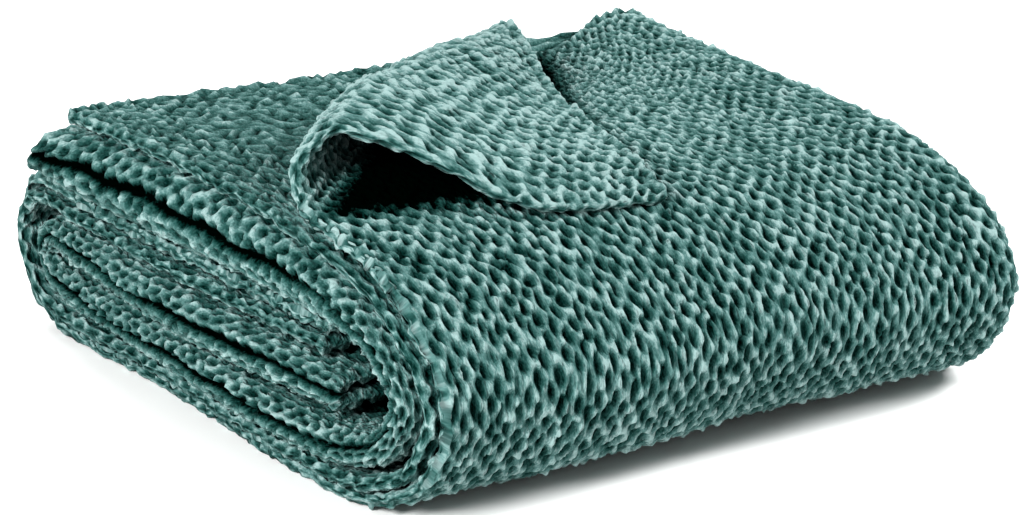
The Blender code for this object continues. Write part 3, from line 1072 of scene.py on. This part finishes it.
@dataclass
class Throw:
    """The whole throw, in panels that meet where the folded cloth hides the joins."""

    cut_length: float = 1.3
    fine_step: float = 1.35 * MM
    fold_step: float = 1.1 * MM
    end_step: float = 1.8 * MM
    round_step: float = 0.7 * MM
    lip_step: float = 0.35 * MM
    under_step: float = 2.4 * MM
    hem_step: float = 2.6 * MM
    third_step: float = 1.5 * MM
    third_coarse: float = 5 * MM
    hidden_step: float = 11 * MM
    hidden_join: float = 8 * MM
    lip_zone: float = 1.4 * MM
    round_zone: float = 4.2 * MM
    edge_zone: float = 45 * MM
    end_zone: float = 58 * MM
    hem_zone: float = 60 * MM
    corner_join: float = 0.30
    brow_join: float = 0.262
    foot_join: float = 0.482
    third_fine: float = 0.29
    third_shown: float = 0.31
    third_join: float = 0.33

    def panels(self, stack: FoldedStack) -> list[ClothPanel]:
        """Lays out the panels on the flat cloth.

        Args:
            stack: Gives the cloth's runs and length.

        Returns:
            The panels, from the top layer inwards.
        """
        join = stack.ply + stack.outer_fold + self.hidden_join
        near = stack.near_start + stack.near_fold / 2
        fold = stack.near_fold / 2
        third = stack.inner_start - self.hidden_join
        length, width = stack.length, stack.width
        fine, end, under = self.fine_step, self.end_step, self.under_step
        near_zones = (Zone(near - fold, end, 2), Zone(near, self.fold_step, 2),
                      Zone(near + fold, self.fold_step, 2), Zone(near + self.end_zone, end, 2))
        from_edge = (Zone(0.0), Zone(self.lip_zone, self.lip_step),
                     Zone(self.round_zone, self.round_step))
        from_hem = (*from_edge, Zone(self.brow_join, fine))
        to_edge = (Zone(width - self.round_zone, end),
                   Zone(width - self.lip_zone, self.round_step), Zone(width, self.lip_step))
        return [
            ClothPanel("turned_corner", (*from_edge, Zone(self.corner_join, fine)), from_hem),
            ClothPanel("top_layer", (Zone(self.corner_join), Zone(join, fine, 3)), from_hem),
            ClothPanel("front_wrap",
                       (*from_edge, Zone(self.edge_zone, fine), Zone(join, fine, 3)),
                       (Zone(self.brow_join), Zone(self.foot_join, fine, 2))),
            ClothPanel("under_wrap",
                       (*from_edge, Zone(self.edge_zone, end), Zone(join, under, 3)),
                       (Zone(self.foot_join), Zone(length, under, 2))),
            ClothPanel("middle_hems",
                       (Zone(join), Zone(near - self.end_zone, self.hem_step), *near_zones,
                        Zone(third, self.hem_step)),
                       (Zone(0.0), Zone(self.hem_zone, under))),
            ClothPanel("middle_layers",
                       (Zone(join), Zone(near - self.end_zone, self.hidden_step), *near_zones,
                        Zone(third, self.hidden_step)),
                       (Zone(self.hem_zone), Zone(length, under, 2))),
            ClothPanel("third_layer_top",
                       (Zone(third), Zone(width - self.third_shown, self.hidden_step),
                        Zone(width - self.edge_zone, self.third_step, 3), *to_edge),
                       (*from_edge, Zone(self.hem_zone, self.third_step),
                        Zone(self.third_fine, self.third_step, 3),
                        Zone(self.third_join, self.third_coarse))),
            ClothPanel("third_layer",
                       (Zone(third), Zone(width - self.end_zone, self.hidden_step), *to_edge),
                       (Zone(self.third_join), Zone(length, under))),
        ]

    def build(self) -> None:
        cloth = HoneycombCloth()
        material = CrinkledCotton().material()
        for panel in self.panels(cloth.stack):
            piece = panel.build(cloth, material)
            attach(piece, "root")
            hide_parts("throw_cloth")
            panel.flat_size(cloth.stack.length, self.cut_length)
            corners = sum(len(face.vertices) - 2 for face in piece.data.polygons)
            LOG.info("%s: %d triangles", panel.name, corners)


@dataclass(frozen=True)
class Lamp:
    """A square soft light that points at the throw, with its power in watts."""

    name: str
    spot: tuple[float, float, float]
    size: float
    power: float


@dataclass
class Studio:
    """The pale floor, the soft lights and the camera at the photograph's angle."""

    azimuth: float = -35.2
    elevation: float = 20.3
    distance: float = 2.33
    lens: float = 140.625
    sensor: float = 36.0
    sight: float = 30.0
    frame_shift: tuple[float, float] = (0.0176, 0.0835)
    aim: tuple[float, float, float] = (-0.25 * MM, 7 * MM, 0.0)
    floor_half: float = 4.0
    floor_drop: float = 0.3 * MM
    floor_colour: str = "f7f7f6"
    floor_roughness: float = 0.9
    world_strength: float = 0.45
    lamps: tuple[Lamp, ...] = (Lamp("key", (1.9, -0.7, 1.5), 0.7, 82.0),
                               Lamp("fill", (-1.9, -0.8, 1.2), 0.7, 74.0),
                               Lamp("rim", (0.3, 1.9, 1.4), 1.0, 38.0))

    def build(self) -> None:
        """Sets up the floor, the lights and the camera."""
        self.floor()
        self.world()
        for lamp in self.lamps:
            self.light(lamp)
        self.camera()

    def floor(self) -> None:
        """Lays a pale matte floor, which isn't part of the object."""
        half, low = self.floor_half, -self.floor_drop
        mesh = bpy.data.meshes.new("studio_floor")
        corners = [(-half, -half, low), (half, -half, low), (half, half, low), (-half, half, low)]
        mesh.from_pydata(corners, [], [(0, 1, 2, 3)])
        paper = bpy.data.materials.new("pale paper")
        paper.use_nodes = True
        shader = paper.node_tree.nodes["Principled BSDF"]
        shader.inputs["Base Color"].default_value = linear_colour(self.floor_colour)
        shader.inputs["Roughness"].default_value = self.floor_roughness
        mesh.materials.append(paper)
        floor = bpy.data.objects.new("studio_floor", mesh)
        bpy.context.scene.collection.objects.link(floor)

    def world(self) -> None:
        """Fills the shadows with an even white sky."""
        world = bpy.data.worlds.new("studio_world")
        world.use_nodes = True
        background = world.node_tree.nodes["Background"]
        background.inputs["Color"].default_value = (1.0, 1.0, 1.0, 1.0)
        background.inputs["Strength"].default_value = self.world_strength
        scene = bpy.context.scene
        scene.world = world
        scene.view_settings.view_transform = "Standard"

    @staticmethod
    def light(lamp: Lamp) -> None:
        """Hangs a lamp.

        Args:
            lamp: Its name, place, size and power.
        """
        data = bpy.data.lights.new(lamp.name, "AREA")
        data.shape = "SQUARE"
        data.size = lamp.size
        data.energy = lamp.power
        light = bpy.data.objects.new(lamp.name, data)
        light.location = lamp.spot
        light.rotation_euler = (-Vector(lamp.spot)).to_track_quat("-Z", "Y").to_euler()
        bpy.context.scene.collection.objects.link(light)

    def camera(self) -> None:
        """Stands the camera on its line of sight through the origin's place in the photograph."""
        turn, rise = math.radians(self.azimuth), math.radians(self.elevation)
        out = Vector((math.sin(turn) * math.cos(rise), -math.cos(turn) * math.cos(rise),
                      math.sin(rise)))
        data = bpy.data.cameras.new("studio_camera")
        data.lens = self.lens
        data.sensor_width = self.sensor
        data.shift_x, data.shift_y = self.frame_shift
        data.clip_end = self.sight
        camera = bpy.data.objects.new("studio_camera", data)
        camera.location = Vector(self.aim) + out * self.distance
        camera.rotation_euler = (-out).to_track_quat("-Z", "Y").to_euler()
        bpy.context.scene.collection.objects.link(camera)
        bpy.context.scene.camera = camera


def main() -> None:
    """Loads the frame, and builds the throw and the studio."""
    logging.basicConfig(level=logging.INFO, format="%(message)s")
    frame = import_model()
    LOG.info("frame with %d nodes", len(frame["nodes"]))
    Throw().build()
    Studio().build()
    bpy.context.view_layer.update()


if __name__ == "__main__":
    main()
